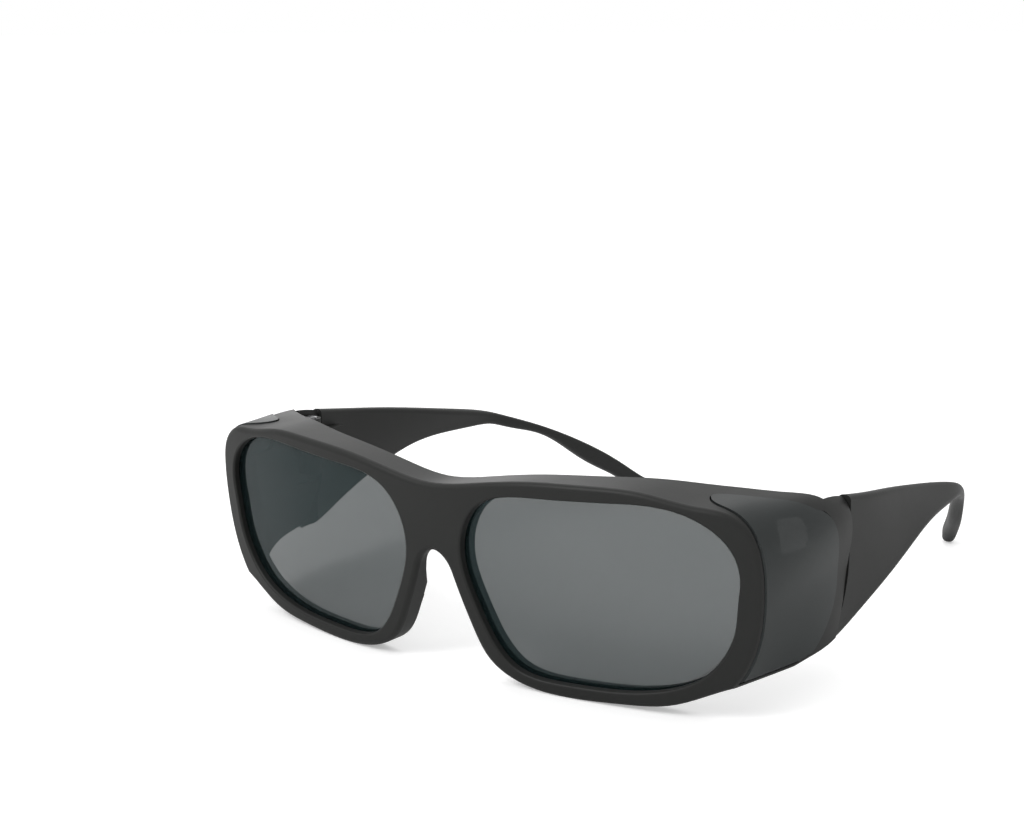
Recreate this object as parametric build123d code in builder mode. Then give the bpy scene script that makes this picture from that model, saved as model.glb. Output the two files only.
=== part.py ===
from build123d import *
import os
from math import atan2, cos, degrees, hypot, radians, sin, sqrt, tan

# Fitover sunglasses, worn over other glasses. They stand as on a table: the rims and the arm tips rest on
# Z = 0, the face looks along -Y, and the origin lies in the middle of the footprint. Sizes are in millimetres
# and degrees. The shapes of one side are made at +X, the wearer's left, and mirrored.

# Overall sizes
half_width = 73.0  # outer face of a side wall at the hinge seam
frame_height = 45.5  # peak of the brow above the resting plane
overall_depth = 157.8  # brow's foremost edge to the arm tips
overrun = 6.0  # how far cutting bodies reach past what they cut

# Face of the front frame
face_radius = 227.0  # plan radius of the front surface
face_lean = 5.5  # the top leans forward by this angle
rim_depth = 5.1  # front to back of the rims
bridge_thickness = 1.8  # front to back in the middle of the bridge
bridge_relief = 6.3  # half width of the hollow behind the bridge
wall_thickness = 2.1  # brow shelf and side walls
edge_radius = 1.1  # rounding of the face's outer edge
lip_radius = 0.5  # rounding of the rims' inner edge

# The brow's top line and the underside of the rims and nose arch, from the middle outwards. Each point is a
# share of half_width and of frame_height. The side walls' lower edge rises backwards, in shares of seam_depth
# and of frame_height.
brow_shares = ((0, 0.910), (0.165, 0.945), (0.33, 0.985), (0.495, 1.0), (0.66, 0.9975))
underside_shares = (
    (0, 0.588),
    (0.045, 0.543),
    (0.065, 0.4725),
    (0.117, 0.2615),
    (0.173, 0.108),
    (0.252, 0.033),
    (0.411, -0.001),
    (0.581, 0.013),
    (0.718, 0.045),
    (0.849, 0.138),
    (0.952, 0.203),
    (1.000, 0.228),
    (1.096, 0.268),
)
wall_foot_shares = (
    (0.400, 0.150),
    (0.560, 0.215),
    (0.650, 0.236),
    (0.735, 0.249),
    (0.822, 0.263),
    (1.100, 0.340),
)

# Cross-sections of the visor's flank, from the brow round the shoulder and down the side wall. Each starts
# with its place behind the face as a share of seam_depth; its points are shares of half_width and of
# frame_height.
seam_depth = 42.6  # rearmost point of the hinge seam behind the face
flank_shares = (
    (
        -0.10,
        ((0.795, 0.958), (0.872, 0.927), (0.918, 0.848), (0.936, 0.714)),
        ((0.936, 0.560), (0.908, 0.407), (0.854, 0.264), (0.782, 0.128)),
    ),
    (
        0.24,
        ((0.803, 0.962), (0.886, 0.941), (0.943, 0.858), (0.963, 0.732)),
        ((0.964, 0.560), (0.950, 0.407), (0.917, 0.264), (0.857, 0.128)),
    ),
    (
        0.57,
        ((0.795, 0.967), (0.877, 0.949), (0.957, 0.910), (0.984, 0.850)),
        ((0.986, 0.560), (0.984, 0.407), (0.979, 0.264), (0.969, 0.128)),
    ),
    (
        1.05,
        ((0.795, 0.935), (0.877, 0.908), (0.972, 0.862), (0.990, 0.822)),
        ((0.993, 0.560), (0.991, 0.407), (0.988, 0.264), (0.984, 0.128)),
    ),
)

# Rear edge of the brow shelf in plan, as shares of half_width and of seam_depth
shelf_shares = (
    (0, 0.137),
    (0.165, 0.148),
    (0.33, 0.176),
    (0.495, 0.252),
    (0.66, 0.382),
    (0.74, 0.472),
    (0.822, 0.580),
    (0.904, 0.697),
    (0.971, 0.805),
)

# Hinge seam in side view: straight down to the first point, then forward along an arc to the second. The
# points are shares of seam_depth and of frame_height.
seam_shares = ((1.0, 0.615), (0.796, 0.209))
seam_gap = 0.4

# Lens openings and the smoked lenses. The outline's points are shares of the opening's width and height.
opening_width = 59.2
opening_height = 40.3
opening_middle = 36.85  # sideways from the bridge
opening_level = 22.95  # above the resting plane
opening_shares = (
    (0.496, 0.108),
    (0.4355, 0.381),
    (0.315, 0.475),
    (0.089, 0.490),
    (-0.176, 0.465),
    (-0.422, 0.373),
    (-0.499, 0.133),
    (-0.447, -0.1675),
    (-0.3115, -0.453),
    (-0.0905, -0.4975),
    (0.186, -0.463),
    (0.390, -0.321),
    (0.477, -0.103),
)
lens_setback = 1.8  # front surface of the lens behind the face
lens_thickness = 1.6
lens_overlap = 1.0  # how far the lens reaches into its groove
lens_clearance = 0.1

# Side lenses: the plan line of the top edge, as shares of half_width and of seam_depth, and the side-view
# line of the lower and rear edges, as shares of seam_depth and of frame_height
side_lens_recess = 1.0  # depth of the seat in the side wall
side_lens_proud = 0.3  # how far the lens stands out of the skin
side_lens_bed = 0.1  # play between the lens and its seat
side_lens_gap = 0.3  # groove round the edge
side_lens_setback = 0.8  # front edge behind the face
side_lens_sill = 0.5  # strip of side wall left below it
side_lens_plan_shares = (
    (0.965, 1.040),
    (0.975, 0.900),
    (0.985, 0.800),
    (0.989, 0.740),
    (0.979, 0.684),
    (0.959, 0.632),
    (0.926, 0.569),
    (0.893, 0.509),
    (0.856, 0.460),
    (0.812, 0.406),
    (0.784, 0.345),
    (0.827, 0.246),
    (0.900, 0.232),
    (1.050, 0.200),
)
side_lens_side_shares = (
    (0.094, 0.033),
    (0.423, 0.180),
    (0.600, 0.232),
    (0.666, 0.253),
    (0.708, 0.285),
    (0.757, 0.326),
    (0.809, 0.379),
    (0.865, 0.450),
    (0.889, 0.520),
    (0.884, 0.601),
    (0.858, 0.694),
    (0.830, 0.764),
    (0.802, 0.815),
    (0.772, 0.851),
    (0.730, 0.878),
    (0.660, 0.925),
)
window_shares = ((0.41, 0.735), (0.65, 0.725), (0.635, 0.865), (0.43, 0.885))
window_radius = 2.0

# Hinges: a vertical screw through two knuckles of the front and one of the arm, with a nut in the lowest
hinge_inset = 4.2  # axis inside half_width
hinge_lead = 4.5  # axis ahead of seam_depth
knuckle_radius = 2.4
knuckle_top = 35.6
knuckle_height = 5.2
knuckle_gap = 0.15
knuckle_swing = 0.3  # free space round a knuckle that turns
ear_top = 39.1  # flat round the screw's head
boss_height = 4.8  # the front's lower knuckle
screw_radius = 0.75
screw_play = 0.05
head_radius = 1.5
head_height = 1.2
head_seat = 38.1
head_play = 0.1
slot_width = 0.4
slot_depth = 0.5
nut_width = 3.2  # across flats
nut_height = 1.4
nut_play = 0.1
web_thickness = 3.1  # arm's tongue behind its knuckle
web_length = 10.0
web_clearance = 0.45  # between the tongue and the side wall

# Flanges that stand back from the rims beside the nose, turned outwards. Root and reach lie behind the face;
# foot, shoulder and top lie above the resting plane.
saddle_splay = 15.0
saddle_thickness = 1.5
saddle_root = 4.7  # inside the rim's rear lip
saddle_reach = 7.4
saddle_foot = 3.5
saddle_shoulder = 13.5
saddle_top = 17.5

# Arms: each section has its place along the arm as a share of the arm's run, how far its outer face has moved
# inwards as a share of arm_inset, its top and bottom as shares of frame_height, its blade as a share of
# blade_thickness, and how far its lower edge stands out past its top as a share of arm_flare.
arm_start = 34.0  # where the first section lies behind the face, inside the seam
arm_inset = 25.4  # tips inside half_width
blade_thickness = 3.6
blade_rounding_share = 0.4
arm_flare = 3.0
arm_shares = (
    (0.000, 0.004, 0.910, 0.262, 0.78, 0.05),
    (0.115, 0.012, 0.865, 0.318, 0.78, 0.17),
    (0.230, 0.043, 0.818, 0.429, 0.75, 0.67),
    (0.328, 0.092, 0.774, 0.511, 0.72, 1.00),
    (0.426, 0.138, 0.724, 0.557, 0.72, 1.05),
    (0.525, 0.160, 0.673, 0.561, 0.75, 0.72),
    (0.615, 0.180, 0.616, 0.546, 0.78, 0.25),
    (0.705, 0.310, 0.528, 0.470, 0.83, 0),
    (0.787, 0.470, 0.430, 0.358, 0.89, 0),
    (0.861, 0.631, 0.320, 0.205, 0.97, 0),
    (0.934, 0.805, 0.184, 0.080, 1.00, 0),
    (0.980, 0.940, 0.085, 0.000, 0.86, 0),
    (1.000, 1.000, 0.056, 0.016, 0.50, 0),
)

datum_lead = tan(radians(face_lean)) * frame_height * (brow_shares[0][1] - 0.5)
datum_y = datum_lead - overall_depth / 2
plan = Plane(origin=(0, datum_y, 0))
front_view = Plane(origin=(0, datum_y, 0), x_dir=(1, 0, 0), z_dir=(0, -1, 0))
side_view = Plane(origin=(0, datum_y, 0), x_dir=(0, 1, 0), z_dir=(1, 0, 0))
arm_run = overall_depth - datum_lead - arm_start
hinge_x = half_width - hinge_inset
hinge_y = seam_depth - hinge_lead
knuckle_bottom = knuckle_top - knuckle_height
boss_top = knuckle_bottom - knuckle_gap
boss_bottom = boss_top - boss_height
screw_top = head_seat + head_height


def mirrored(half):
    """Points of a line that is alike on both sides, from the -X end to the +X end."""
    return [(-x, y) for x, y in reversed(half[1:])] + list(half)


def sized(shares, across, up):
    """Points given as shares, at their real size."""
    return [(x * across, y * up) for x, y in shares]


def sunk(line, depth):
    """The same line moved to its right-hand side by a depth."""
    moved = []
    for before, here, after in zip(line[:1] + line, line, line[1:] + line[-1:]):
        along = after[0] - before[0]
        up = after[1] - before[1]
        length = hypot(along, up)
        moved.append((here[0] + up / length * depth, here[1] - along / length * depth))
    return moved


def visor_body(depth):
    """Solid under the visor's skin, or under that skin sunk inwards by a depth."""
    with BuildPart() as body:
        for place, shoulder, wall in flank_shares:
            with BuildSketch(front_view.offset(-place * seam_depth)):
                with BuildLine():
                    skin_line = mirrored(sized(brow_shares + shoulder + wall, half_width, frame_height))
                    line = sunk(skin_line, depth)
                    foot = line[-1][0] - overrun
                    Spline(*line)
                    Polyline(line[-1], (foot, -overrun), (-foot, -overrun), line[0])
                make_face()
        loft()
    return body.part


def behind_face(setback):
    """Everything behind the front surface moved back by a setback."""
    reach = half_width + overrun
    sagitta = face_radius - sqrt(face_radius**2 - reach**2)
    rise = frame_height + 2 * overrun
    start = setback + tan(radians(face_lean)) * (frame_height / 2 + overrun)
    rear = seam_depth + 4 * overrun
    with BuildPart() as body:
        with BuildSketch(plan.offset(-overrun)):
            with BuildLine():
                ThreePointArc((-reach, start + sagitta), (0, start), (reach, start + sagitta))
                Polyline((reach, start + sagitta), (reach, rear), (-reach, rear), (-reach, start + sagitta))
            make_face()
        extrude(amount=rise / cos(radians(face_lean)), dir=(0, -tan(radians(face_lean)), 1))
    return body.part


def below_rims(raised):
    """Everything below the underside of the rims and the nose arch, raised by an amount."""
    with BuildPart() as body:
        with BuildSketch(front_view.offset(overrun)):
            with BuildLine():
                half = sized(underside_shares, half_width, frame_height)
                line = mirrored([(x, z + raised) for x, z in half])
                Spline(*line)
                floor = -2 * overrun
                Polyline(line[-1], (line[-1][0], floor), (line[0][0], floor), line[0])
            make_face()
        extrude(amount=-seam_depth - 4 * overrun)
        with BuildSketch(side_view):
            with BuildLine():
                line = [(y, z + raised) for y, z in sized(wall_foot_shares, seam_depth, frame_height)]
                Spline(*line)
                Polyline(line[-1], (line[-1][0], floor), (line[0][0], floor), line[0])
            make_face()
        extrude(amount=half_width + overrun, both=True)
    return body.part


def behind_seam(gap):
    """Everything behind the hinge seam moved back by a gap, on both sides."""
    with BuildPart() as body:
        with BuildSketch(side_view):
            with BuildLine():
                bend, foot = [(y + gap, z) for y, z in sized(seam_shares, seam_depth, frame_height)]
                rear = overall_depth + overrun
                top = frame_height + overrun
                TangentArc(bend, foot, tangent=(0, -1))
                Polyline(foot, (foot[0], -overrun), (rear, -overrun), (rear, top), (bend[0], top), bend)
            make_face()
        extrude(amount=half_width + overrun, both=True)
    return body.part


def opening_prism(grow):
    """Outline of the lens opening, grown by an amount, as a prism through the face."""
    with BuildPart() as body:
        with BuildSketch(front_view.offset(overrun)):
            with BuildLine():
                across = opening_width + 2 * grow
                up = opening_height + 2 * grow
                Spline(
                    *[(opening_middle + x, opening_level + z) for x, z in sized(opening_shares, across, up)],
                    periodic=True
                )
            make_face()
        extrude(amount=-seam_depth)
    return body.part


def side_lens_prism(shrink):
    """Space of the side lens, shrunk by an amount at its edge, from outside the visor inwards."""
    with BuildPart() as body:
        with BuildSketch(side_view):
            with BuildLine():
                line = sunk(sized(side_lens_side_shares, seam_depth, frame_height), -shrink)
                top = frame_height + overrun
                Spline(*line)
                Polyline(line[-1], (line[-1][0], top), (-overrun, top), (-overrun, line[0][1]), line[0])
            make_face()
        extrude(amount=half_width + overrun)
        with BuildSketch(plan.offset(-overrun)):
            with BuildLine():
                line = sunk(sized(side_lens_plan_shares, half_width, seam_depth), -shrink)
                outside = line[-1][0] + overrun
                Spline(*line)
                Polyline(line[-1], (outside, line[-1][1]), (outside, line[0][1]), line[0])
            make_face()
        extrude(amount=frame_height + 3 * overrun, mode=Mode.INTERSECT)
    return body.part


def hinge_post(radius, bottom, top):
    """Upright round bar on the hinge axis."""
    with BuildPart() as body:
        with BuildSketch(plan.offset(bottom)):
            with Locations((hinge_x, hinge_y)):
                Circle(radius)
        extrude(amount=top - bottom)
    return body.part


def keep(piece, name):
    """Labels a finished piece and writes it."""
    piece.part.label = name
    export_step(piece.part, f"parts/{name}.step")


skin = visor_body(0)
seat = visor_body(side_lens_recess)
core = visor_body(wall_thickness)
os.makedirs("parts", exist_ok=True)

# Space inside the visor, behind the rims and the thinner bridge
with BuildPart() as hollow:
    add(behind_face(rim_depth))
    with BuildSketch(plan):
        with BuildLine():
            face_foot = tan(radians(face_lean)) * frame_height / 2
            rim_rear = face_foot + rim_depth
            rear = rim_rear + overrun
            left = (-bridge_relief, rim_rear)
            right = (bridge_relief, rim_rear)
            ThreePointArc(left, (0, face_foot + bridge_thickness), right)
            Polyline(right, (bridge_relief, rear), (-bridge_relief, rear), left)
        make_face()
    extrude(amount=frame_height / cos(radians(face_lean)), dir=(0, -tan(radians(face_lean)), 1))
    add(core, mode=Mode.INTERSECT)

# Nose flange of one rim
with BuildPart() as saddle:
    with BuildSketch(front_view.offset(-saddle_root)):
        with BuildLine():
            nose_line = sized(underside_shares[1:6], half_width, frame_height)
            inner_line = sunk(nose_line, -saddle_thickness)
            Spline(*nose_line)
            Spline(*inner_line)
            Line(nose_line[0], inner_line[0])
            Line(nose_line[-1], inner_line[-1])
        make_face()
    splay = radians(saddle_splay)
    extrude(amount=(saddle_reach - saddle_root) / cos(splay), dir=(sin(splay), cos(splay), 0))
    with BuildSketch(side_view):
        Polygon(
            (saddle_root, saddle_foot),
            (saddle_reach, saddle_foot),
            (saddle_reach, saddle_shoulder),
            (rim_depth, saddle_top),
            (saddle_root, saddle_top),
            align=None
        )
    extrude(amount=half_width, mode=Mode.INTERSECT)
    add(behind_face(saddle_root), mode=Mode.INTERSECT)

# Groove that holds a lens
with BuildPart() as lens_groove:
    add(opening_prism(lens_overlap + lens_clearance))
    add(behind_face(lens_setback - lens_clearance), mode=Mode.INTERSECT)
    add(behind_face(lens_setback + lens_thickness + lens_clearance), mode=Mode.SUBTRACT)

# Seat of a side lens, outside the sunk skin
with BuildPart() as side_lens_seat:
    add(side_lens_prism(0))
    add(behind_face(side_lens_setback), mode=Mode.INTERSECT)
    add(below_rims(side_lens_sill), mode=Mode.SUBTRACT)
    add(seat, mode=Mode.SUBTRACT)

# Window in a side wall, under the side lens
with BuildPart() as window:
    with BuildSketch(side_view.offset(half_width / 2)) as window_sketch:
        Polygon(*sized(window_shares, seam_depth, frame_height), align=None)
        fillet(window_sketch.vertices(), radius=window_radius)
    extrude(amount=half_width)

# Space behind the brow shelf's rear edge, between the side walls
shelf_line = mirrored(sized(shelf_shares, half_width, seam_depth))
with BuildPart() as shelf_cut:
    with BuildSketch(plan.offset(frame_height / 2)):
        with BuildLine():
            Spline(*shelf_line)
            last = shelf_line[-1]
            rear = seam_depth + overrun
            Polyline(last, (last[0], rear), (-last[0], rear), shelf_line[0])
        make_face()
    extrude(amount=frame_height)

# The front's two knuckles, joined to the side wall, with the screw's hole and the nut's pocket
with BuildPart() as knuckles:
    for bottom, top in ((boss_bottom, boss_top), (knuckle_top + knuckle_gap, ear_top)):
        with BuildSketch(plan.offset(bottom)):
            with Locations((hinge_x, hinge_y)):
                Circle(knuckle_radius)
                Rectangle(
                    hinge_inset - wall_thickness / 2, 2 * knuckle_radius, align=(Align.MIN, Align.CENTER)
                )
        extrude(amount=top - bottom)
    add(skin, mode=Mode.INTERSECT)
with BuildPart() as hinge_holes:
    add(hinge_post(screw_radius + screw_play, boss_bottom - overrun, frame_height + overrun))
    add(hinge_post(head_radius + head_play, head_seat, frame_height + overrun))
    with BuildSketch(plan.offset(boss_bottom)):
        with Locations((hinge_x, hinge_y)):
            RegularPolygon(nut_width / 2 + nut_play, 6, major_radius=False)
    extrude(amount=nut_height)

with BuildPart() as front_frame:
    add(skin)
    add(behind_face(0), mode=Mode.INTERSECT)
    add(below_rims(0), mode=Mode.SUBTRACT)
    opening = opening_prism(0)
    add(opening, mode=Mode.SUBTRACT)
    mirror(opening, about=Plane.YZ, mode=Mode.SUBTRACT)
    lips = [edge for wire in front_frame.faces().sort_by(Axis.Y)[0].inner_wires() for edge in wire.edges()]
    fillet(lips, radius=lip_radius)
    fillet(front_frame.faces().sort_by(Axis.Y)[0].outer_wire().edges(), radius=edge_radius)
    add(hollow.part, mode=Mode.SUBTRACT)
    add(behind_seam(0), mode=Mode.SUBTRACT)
    add(shelf_cut.part, mode=Mode.SUBTRACT)
    for added in (knuckles.part, saddle.part):
        add(added)
        mirror(added, about=Plane.YZ)
    swing_radius = knuckle_radius + knuckle_swing
    swing = hinge_post(swing_radius, knuckle_bottom - knuckle_gap, knuckle_top + knuckle_gap)
    for cut in (lens_groove.part, side_lens_seat.part, window.part, swing):
        add(cut, mode=Mode.SUBTRACT)
        mirror(cut, about=Plane.YZ, mode=Mode.SUBTRACT)
    add(hinge_holes.part, mode=Mode.SUBTRACT)
    mirror(hinge_holes.part, about=Plane.YZ, mode=Mode.SUBTRACT)
    split(bisect_by=Plane.XY, keep=Keep.TOP)
keep(front_frame, "front_frame")

with BuildPart() as lens_left:
    add(opening_prism(lens_overlap))
    add(behind_face(lens_setback), mode=Mode.INTERSECT)
    add(behind_face(lens_setback + lens_thickness), mode=Mode.SUBTRACT)
keep(lens_left, "lens_left")
with BuildPart() as lens_right:
    mirror(lens_left.part, about=Plane.YZ)
keep(lens_right, "lens_right")

with BuildPart() as side_lens_left:
    add(visor_body(-side_lens_proud))
    add(side_lens_prism(side_lens_gap), mode=Mode.INTERSECT)
    add(behind_face(side_lens_setback + side_lens_gap), mode=Mode.INTERSECT)
    add(below_rims(side_lens_sill + side_lens_gap), mode=Mode.SUBTRACT)
    add(visor_body(side_lens_recess - side_lens_bed), mode=Mode.SUBTRACT)
keep(side_lens_left, "side_lens_left")
with BuildPart() as side_lens_right:
    mirror(side_lens_left.part, about=Plane.YZ)
keep(side_lens_right, "side_lens_right")

with BuildPart() as temple_left:
    for along, inwards, top_share, bottom_share, blade, flare in arm_shares:
        top = top_share * frame_height
        bottom = bottom_share * frame_height
        thickness = blade * blade_thickness
        out = flare * arm_flare
        outer = half_width - inwards * arm_inset
        with BuildSketch(front_view.offset(-arm_start - along * arm_run)):
            with Locations((outer + (out - thickness) / 2, (top + bottom) / 2)):
                RectangleRounded(
                    thickness,
                    hypot(top - bottom, out),
                    blade_rounding_share * thickness,
                    rotation=degrees(atan2(out, top - bottom))
                )
    loft()
    add(behind_seam(seam_gap), mode=Mode.INTERSECT)
    for bottom, top in ((0, knuckle_bottom - knuckle_gap), (knuckle_top + knuckle_gap, frame_height)):
        add(hinge_post(swing_radius, bottom, top), mode=Mode.SUBTRACT)
    with BuildSketch(plan.offset(knuckle_bottom)):
        with Locations((hinge_x, hinge_y)):
            Circle(knuckle_radius)
        inner = half_width - wall_thickness - web_clearance
        with Locations((inner, hinge_y)):
            Rectangle(web_thickness, web_length, align=(Align.MAX, Align.MIN))
        with Locations((inner, hinge_y + web_length)):
            Rectangle(web_thickness, web_length / 2, align=(Align.CENTER, Align.MAX))
    extrude(amount=knuckle_height)
    add(hinge_post(screw_radius + screw_play, 0, frame_height), mode=Mode.SUBTRACT)
    split(bisect_by=Plane.XY, keep=Keep.TOP)
keep(temple_left, "temple_left")
with BuildPart() as temple_right:
    mirror(temple_left.part, about=Plane.YZ)
keep(temple_right, "temple_right")

with BuildPart() as hinge_screw_left:
    add(hinge_post(screw_radius, boss_bottom, head_seat))
    add(hinge_post(head_radius, head_seat, screw_top))
    with BuildSketch(plan.offset(screw_top - slot_depth)):
        with Locations((hinge_x, hinge_y)):
            Rectangle(2 * head_radius + overrun, slot_width)
    extrude(amount=overrun, mode=Mode.SUBTRACT)
keep(hinge_screw_left, "hinge_screw_left")
with BuildPart() as hinge_screw_right:
    mirror(hinge_screw_left.part, about=Plane.YZ)
keep(hinge_screw_right, "hinge_screw_right")

with BuildPart() as hinge_nut_left:
    with BuildSketch(plan.offset(boss_bottom)):
        with Locations((hinge_x, hinge_y)):
            RegularPolygon(nut_width / 2, 6, major_radius=False)
            Circle(screw_radius + screw_play, mode=Mode.SUBTRACT)
    extrude(amount=nut_height - nut_play)
keep(hinge_nut_left, "hinge_nut_left")
with BuildPart() as hinge_nut_right:
    mirror(hinge_nut_left.part, about=Plane.YZ)
keep(hinge_nut_right, "hinge_nut_right")
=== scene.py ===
import math
import bpy
from mathutils import Matrix, Vector

# Fitover sunglasses in satin black plastic with smoked lenses, standing on a white table.
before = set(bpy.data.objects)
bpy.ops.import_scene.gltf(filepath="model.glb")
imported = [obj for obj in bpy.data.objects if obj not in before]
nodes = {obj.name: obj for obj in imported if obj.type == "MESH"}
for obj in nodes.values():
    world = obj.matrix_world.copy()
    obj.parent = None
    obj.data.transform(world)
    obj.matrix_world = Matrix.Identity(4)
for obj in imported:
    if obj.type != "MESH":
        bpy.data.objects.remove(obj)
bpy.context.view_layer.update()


# Front frame: one moulding of satin black plastic with both rims, the bridge, the nose flanges, the brow
# shelf, the side walls and the hinge knuckles. The mould leaves a fine grain and a soft waviness, and the
# satin is a little glossier in some places than in others.
class Wire:
    """One value in a material's nodes. Arithmetic on it adds Math nodes."""

    def __init__(self, tree, socket=None):
        self.tree = tree
        self.socket = socket

    def node(self, kind, settings, inputs, output=0):
        """Adds a node, sets it, fills or joins its inputs and returns one of its outputs."""
        made = self.tree.nodes.new(kind)
        for name, value in settings.items():
            setattr(made, name, value)
        for name, value in inputs.items():
            if isinstance(value, Wire):
                self.tree.links.new(value.socket, made.inputs[name])
            else:
                made.inputs[name].default_value = value
        return Wire(self.tree, made.outputs[output])

    def joined(self, operation, first, second):
        return self.node("ShaderNodeMath", {"operation": operation}, {0: first, 1: second})

    def __add__(self, other):
        return self.joined("ADD", self, other)

    __radd__ = __add__

    def __mul__(self, other):
        return self.joined("MULTIPLY", self, other)

    __rmul__ = __mul__


def finish_of(name, **values):
    """A material, its surface shader with the even values set, and the place on the object to pattern by."""
    material = bpy.data.materials.new(name)
    material.use_nodes = True
    tree = material.node_tree
    surface = tree.nodes["Principled BSDF"]
    for socket, value in values.items():
        surface.inputs[socket.replace("_", " ")].default_value = value
    place = Wire(tree).node("ShaderNodeTexCoord", {}, {}, "Object")
    return material, surface, place


def feed(surface, **wires):
    """Joins patterns to the inputs of a surface shader."""
    for socket, wire in wires.items():
        wire.tree.links.new(wire.socket, surface.inputs[socket.replace("_", " ")])


def noise(place, lumps_per_metre, detail=2.0):
    """Cloudy pattern from 0 to 1. A higher detail adds finer lumps to it."""
    return place.node("ShaderNodeTexNoise", {}, {"Vector": place, "Scale": lumps_per_metre, "Detail": detail})


def toned(pattern, dark, light):
    """Colour that goes from dark to light as the pattern rises."""
    return pattern.node(
        "ShaderNodeMix",
        {"data_type": "RGBA"},
        {"Factor": pattern, "A": (*dark, 1), "B": (*light, 1)},
        "Result",
    )


def bumped(height, distance, strength):
    """Surface normal for a height pattern that stands out by a distance in metres."""
    return height.node("ShaderNodeBump", {}, {"Height": height, "Distance": distance, "Strength": strength})


plastic_ior = 1.5
satin_shine = 0.22  # specular level
cloud_share = 0.7  # of the pattern in the colour, where the grain has the rest
cloud_spread = 0.1  # how much the clouds change the roughness
grain_spread = 0.06
grain_relief = 0.12  # height of the grain, where the waves have 1
wave_height = 0.0001
wave_strength = 0.25


def satin_black(name, dark, light, roughness):
    """Moulded satin black plastic: grain, soft waviness, and a sheen that varies a little."""
    material, surface, place = finish_of(name, IOR=plastic_ior, Specular_IOR_Level=satin_shine)
    grain = noise(place, lumps_per_metre=2600.0)
    waves = noise(place, lumps_per_metre=130.0, detail=1.0)
    cloud = noise(place, lumps_per_metre=55.0, detail=3.0)
    least_roughness = roughness - (cloud_spread + grain_spread) / 2
    feed(
        surface,
        Base_Color=toned(cloud * cloud_share + grain * (1 - cloud_share), dark, light),
        Roughness=cloud * cloud_spread + grain * grain_spread + least_roughness,
        Normal=bumped(grain * grain_relief + waves, wave_height, wave_strength),
    )
    return material


def dress(name, material):
    """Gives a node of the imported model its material."""
    slots = nodes[name].data.materials
    slots.clear()
    slots.append(material)


black = (0.011, 0.0115, 0.011)
front_light = (0.018, 0.0185, 0.0175)
dress("front_frame", satin_black("black_moulding", black, front_light, roughness=0.46))

# Front lenses: clear plastic with a dark smoke tint, polished on both faces, snapped into the rims from
# behind. Light passes through them, what they reflect has a blue-green cast, and only faint dust dulls the
# polish.
tint_gain = 1.25  # how many times lighter the tint is at the top of its cloud pattern
haze_spread = 0.02  # how much the clouds change the roughness
dust_spread = 0.015
density_spread = 0.02


def smoked(name, colour, density, roughness, shine, sheen):
    """Tinted clear plastic with a trace of dust. Light passes through two faces of the density given."""
    material, surface, place = finish_of(
        name, IOR=plastic_ior, Specular_IOR_Level=shine, Specular_Tint=(*sheen, 1)
    )
    dust = noise(place, lumps_per_metre=900.0, detail=3.0)
    cloud = noise(place, lumps_per_metre=35.0)
    feed(
        surface,
        Base_Color=toned(cloud, colour, [part * tint_gain for part in colour]),
        Roughness=cloud * haze_spread + dust * dust_spread + roughness,
        Alpha=cloud * density_spread + (density - density_spread / 2),
    )
    return material


front_tint = smoked(
    "smoked_lens",
    colour=(0.006, 0.011, 0.0115),
    density=0.66,
    roughness=0.03,
    shine=0.36,
    sheen=(0.65, 0.95, 1),
)
for side in ("left", "right"):
    dress("lens_" + side, front_tint)

# Side lenses: panels of the same kind of plastic in a recess of each side wall, over its window. They are
# much darker than the front ones and satin instead of polished, so they take the light almost as softly as
# the wall does.
side_tint = smoked(
    "dark_side_lens",
    colour=(0.020, 0.022, 0.022),
    density=0.90,
    roughness=0.34,
    shine=0.27,
    sheen=(0.92, 1, 1),
)
for side in ("left", "right"):
    dress("side_lens_" + side, side_tint)

# Temples: the same black plastic as the front, moulded one by one, a touch lighter and more matt, turning
# down and inwards at the ear. Each hangs on its hinge screw between the front's knuckles.
arm_light = (0.019, 0.0195, 0.0185)
arm_finish = satin_black("black_arm", black, arm_light, roughness=0.48)
for side in ("left", "right"):
    dress("temple_" + side, arm_finish)

# Hinge screws and nuts: plain steel with turned heads, darkened a little by handling. Each screw goes down
# through the knuckles into the nut that sits in the lowest one.
dull_steel = (0.30, 0.30, 0.31)
bright_steel = (0.52, 0.52, 0.53)
steel_roughness = 0.24  # where it is neither tarnished nor scratched
tarnish_spread = 0.12
scratch_spread = 0.1
scratch_depth = 0.00002
scratch_strength = 0.4
steel, surface, place = finish_of("screw_steel", Metallic=1.0)
scratches = noise(place, lumps_per_metre=4000.0, detail=4.0)
tarnish = noise(place, lumps_per_metre=700.0)
feed(
    surface,
    Base_Color=toned(tarnish, dull_steel, bright_steel),
    Roughness=tarnish * tarnish_spread + scratches * scratch_spread + steel_roughness,
    Normal=bumped(scratches, scratch_depth, scratch_strength),
)
for side in ("left", "right"):
    dress("hinge_screw_" + side, steel)
    dress("hinge_nut_" + side, steel)


# Table and backdrop: an even white surface under an even white sky. What the camera sees of them, straight
# or through a lens, is lifted towards white, and the shadows stay.
def in_view(start):
    """1 on rays straight from the camera and on those that come through a clear piece, and 0 on others."""
    seen = start.node("ShaderNodeLightPath", {}, {}, "Is Camera Ray")
    through = start.node("ShaderNodeLightPath", {}, {}, "Is Transmission Ray")
    return seen + through


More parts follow.
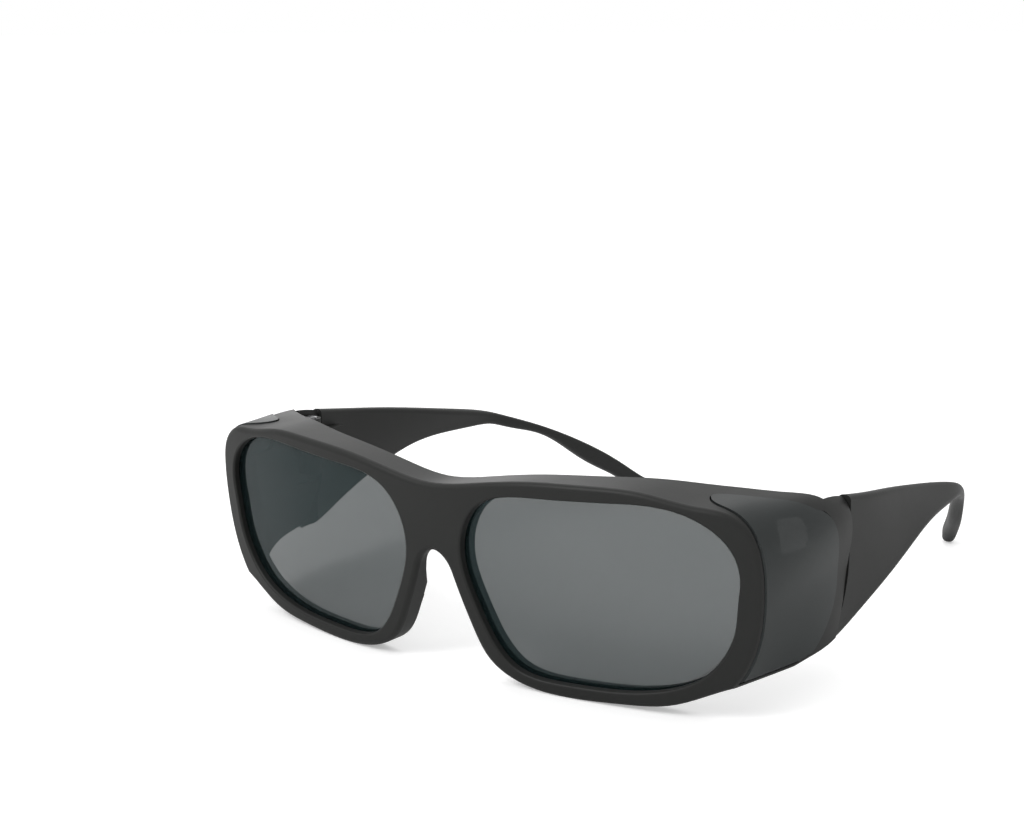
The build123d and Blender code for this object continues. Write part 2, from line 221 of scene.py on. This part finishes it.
table_size = 40
table_colour = (0.80, 0.80, 0.80, 1)
table_lift = 0.34
white = bpy.data.materials.new("white_table")
white.use_nodes = True
tree = white.node_tree
tree.nodes.clear()
start = Wire(tree)
table = start.node("ShaderNodeBsdfDiffuse", {}, {"Color": table_colour})
lift = start.node("ShaderNodeEmission", {}, {"Color": (1, 1, 1, 1), "Strength": in_view(start) * table_lift})
both = start.node("ShaderNodeAddShader", {}, {0: table, 1: lift})
end = tree.nodes.new("ShaderNodeOutputMaterial")
tree.links.new(both.socket, end.inputs["Surface"])
bpy.ops.mesh.primitive_plane_add(size=table_size)
floor = bpy.context.object
floor.name = "table"
floor.data.materials.append(white)

sky_strength = 0.8
sky_lift = 0.2
world = bpy.data.worlds.new("studio")
bpy.context.scene.world = world
world.use_nodes = True
tree = world.node_tree
sky = tree.nodes["Background"]
sky.inputs["Color"].default_value = (1, 1, 1, 1)
strength = in_view(Wire(tree)) * sky_lift + sky_strength
tree.links.new(strength.socket, sky.inputs["Strength"])


# Lamps: four square studio lamps above the table and round the glasses, and a wide sun as soft daylight.
def soft_box(name, place, aim, size, power):
    """Square studio lamp that looks at a point and isn't seen itself."""
    lamp = bpy.data.lights.new(name, "AREA")
    lamp.energy = power
    lamp.size = size
    stand = bpy.data.objects.new(name, lamp)
    stand.location = place
    stand.visible_camera = False
    stand.rotation_euler = (Vector(aim) - Vector(place)).to_track_quat("-Z", "Y").to_euler()
    bpy.context.scene.collection.objects.link(stand)


middle = (0, 0, 0.02)
soft_box("top_light", place=(-0.35, 0.45, 0.75), aim=middle, size=0.5, power=0.9)
soft_box("side_light", place=(0.75, -0.15, 0.22), aim=middle, size=0.35, power=0.1)
soft_box("fill_light", place=(-0.2, -0.7, 0.7), aim=(0, -0.05, 0.03), size=0.4, power=4.0)
soft_box("rear_light", place=(-0.7, 0.75, 0.14), aim=(-0.05, 0, 0.03), size=0.3, power=0.4)

daylight_strength = 0.4
daylight_spread = math.radians(80)
daylight_lean = math.radians(-8)
daylight = bpy.data.lights.new("daylight", "SUN")
daylight.energy = daylight_strength
daylight.angle = daylight_spread
sun = bpy.data.objects.new("daylight", daylight)
sun.rotation_euler = (daylight_lean, daylight_lean, 0)
bpy.context.scene.collection.objects.link(sun)

# Camera: a short telephoto a little above the table, to the wearer's left of the face. Its lens, angles and
# place come from fitting it to the photograph. The glasses lie below the middle of the picture and to its
# right, so the camera stands above the point it is fitted round and left of it, as seen in the picture.
focal_length = 63.047
sensor_width = 36
nearest_seen = 0.01
turn = math.radians(36.612)
tilt = math.radians(12.051)
roll = math.radians(-0.342)
aim = Vector((0, -0.0371037, 0.0193))
left_of_aim = 0.007574
above_aim = 0.030016
distance = 0.401954
back = Vector((math.sin(turn) * math.cos(tilt), -math.cos(turn) * math.cos(tilt), math.sin(tilt)))
level = Vector((math.cos(turn), math.sin(turn), 0))
rise = back.cross(level)
right = math.cos(roll) * level + math.sin(roll) * rise
up = math.cos(roll) * rise - math.sin(roll) * level
optics = bpy.data.cameras.new("photo_camera")
optics.lens = focal_length
optics.sensor_width = sensor_width
optics.clip_start = nearest_seen
camera = bpy.data.objects.new("photo_camera", optics)
camera.matrix_world = Matrix((right, up, back)).transposed().to_4x4()
camera.matrix_world.translation = aim - right * left_of_aim + up * above_aim + back * distance
bpy.context.scene.collection.objects.link(camera)
bpy.context.scene.camera = camera
bpy.context.scene.view_settings.view_transform = "Standard"
